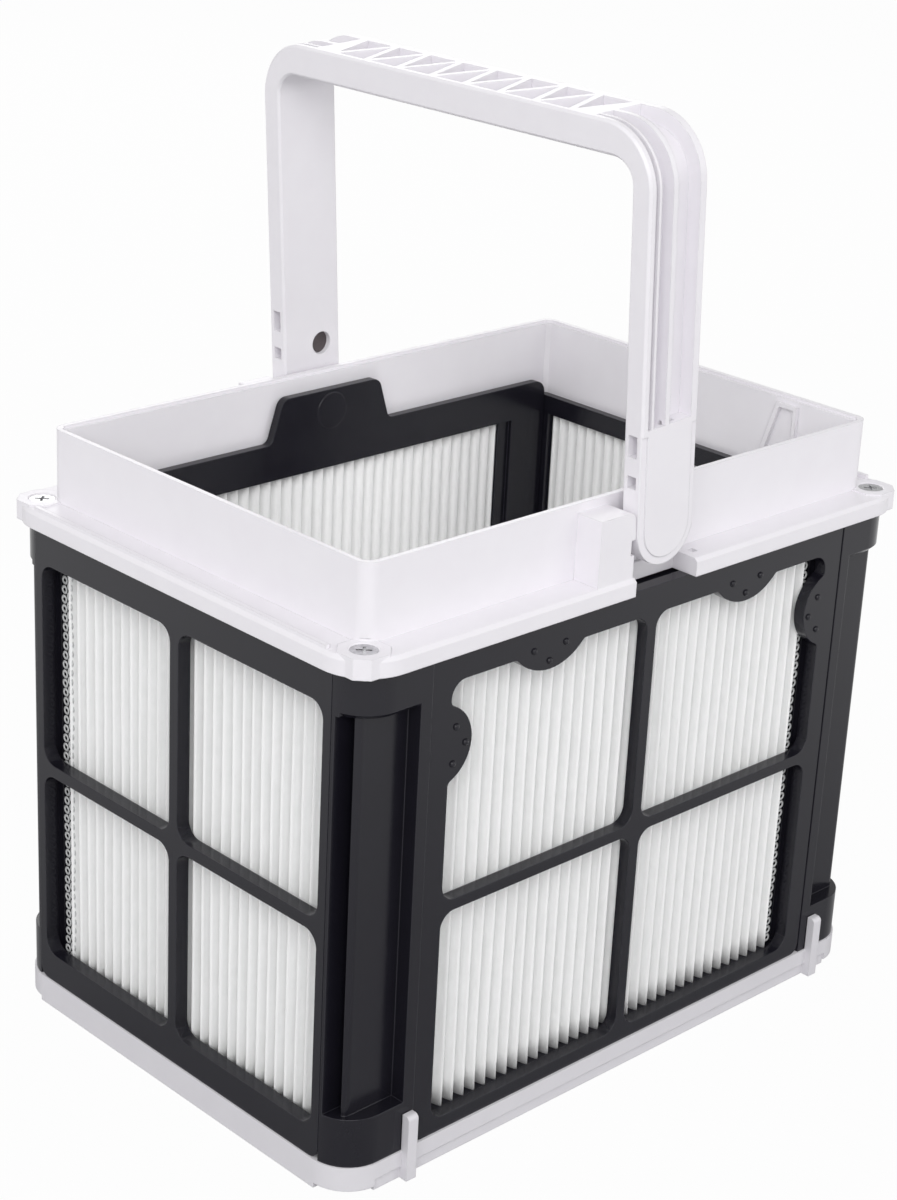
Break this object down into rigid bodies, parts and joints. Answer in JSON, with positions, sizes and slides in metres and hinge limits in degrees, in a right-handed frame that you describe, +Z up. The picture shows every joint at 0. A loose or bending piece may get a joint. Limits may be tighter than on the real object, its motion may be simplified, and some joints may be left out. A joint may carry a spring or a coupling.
{
  "type": "canister filter",
  "caption": "Rectangular lift-out filter canister with pleated cartridges behind windowed walls, a white collar on top and a folding bail handle.",
  "frame": {"origin": "centre of the footprint, on the plane that the canister stands on", "axes": "+Z up through the open collar, X along the long side, Y across it, front is -Y"},
  "size_m": [0.25, 0.1756, 0.3199],
  "materials": {
    "white_plastic": "satin moulded",
    "black_plastic": "glossy moulded",
    "filter_media": "pleated non-woven with net",
    "steel": "bright",
    "flap_rubber": "matt"
  },
  "bodies": {
    "root": {"top_plate": "white_plastic", "base_tray": "white_plastic", "corner_post_front_left": "black_plastic", "corner_post_front_right": "black_plastic", "corner_post_back_left": "black_plastic", "corner_post_back_right": "black_plastic", "long_window_frame_front": "black_plastic", "long_window_frame_back": "black_plastic", "short_window_frame_left": "black_plastic", "short_window_frame_right": "black_plastic", "short_cartridge_frame_left": "black_plastic", "short_pleats_left": "filter_media", "short_cartridge_frame_right": "black_plastic", "short_pleats_right": "filter_media", "inlet_housing_left": "white_plastic", "inlet_housing_right": "white_plastic", "handle_pivot_front": "steel", "handle_pivot_back": "steel", "flap_pin_left": "steel", "flap_pin_right": "steel", "top_screws": "steel"},
    "handle": {"handle": "white_plastic"},
    "long_cartridge_front": {"long_cartridge_frame_front": "black_plastic", "long_pleats_front": "filter_media"},
    "long_cartridge_back": {"long_cartridge_frame_back": "black_plastic", "long_pleats_back": "filter_media"},
    "flap_left": {"inlet_flap_left": "flap_rubber"},
    "flap_right": {"inlet_flap_right": "flap_rubber"}
  },
  "joints": [
    {"name": "handle_fold", "type": "hinge", "parent": "root", "child": "handle", "pos_m": [0, 0, 0.1945], "axis": [0, 1, 0], "range_deg": [0, 93.5]},
    {"name": "long_cartridge_front_tilt", "type": "hinge", "parent": "root", "child": "long_cartridge_front", "pos_m": [0, -0.0692, 0.0102], "axis": [-1, 0, 0], "range_deg": [0, 18]},
    {"name": "long_cartridge_back_tilt", "type": "hinge", "parent": "root", "child": "long_cartridge_back", "pos_m": [0, 0.0692, 0.0102], "axis": [1, 0, 0], "range_deg": [0, 18]},
    {"name": "flap_left_swing", "type": "hinge", "parent": "root", "child": "flap_left", "pos_m": [-0.0144, 0, 0.0233], "axis": [0, 1, 0], "range_deg": [0, 70]},
    {"name": "flap_right_swing", "type": "hinge", "parent": "root", "child": "flap_right", "pos_m": [0.0144, 0, 0.0233], "axis": [0, -1, 0], "range_deg": [0, 70]}
  ]
}
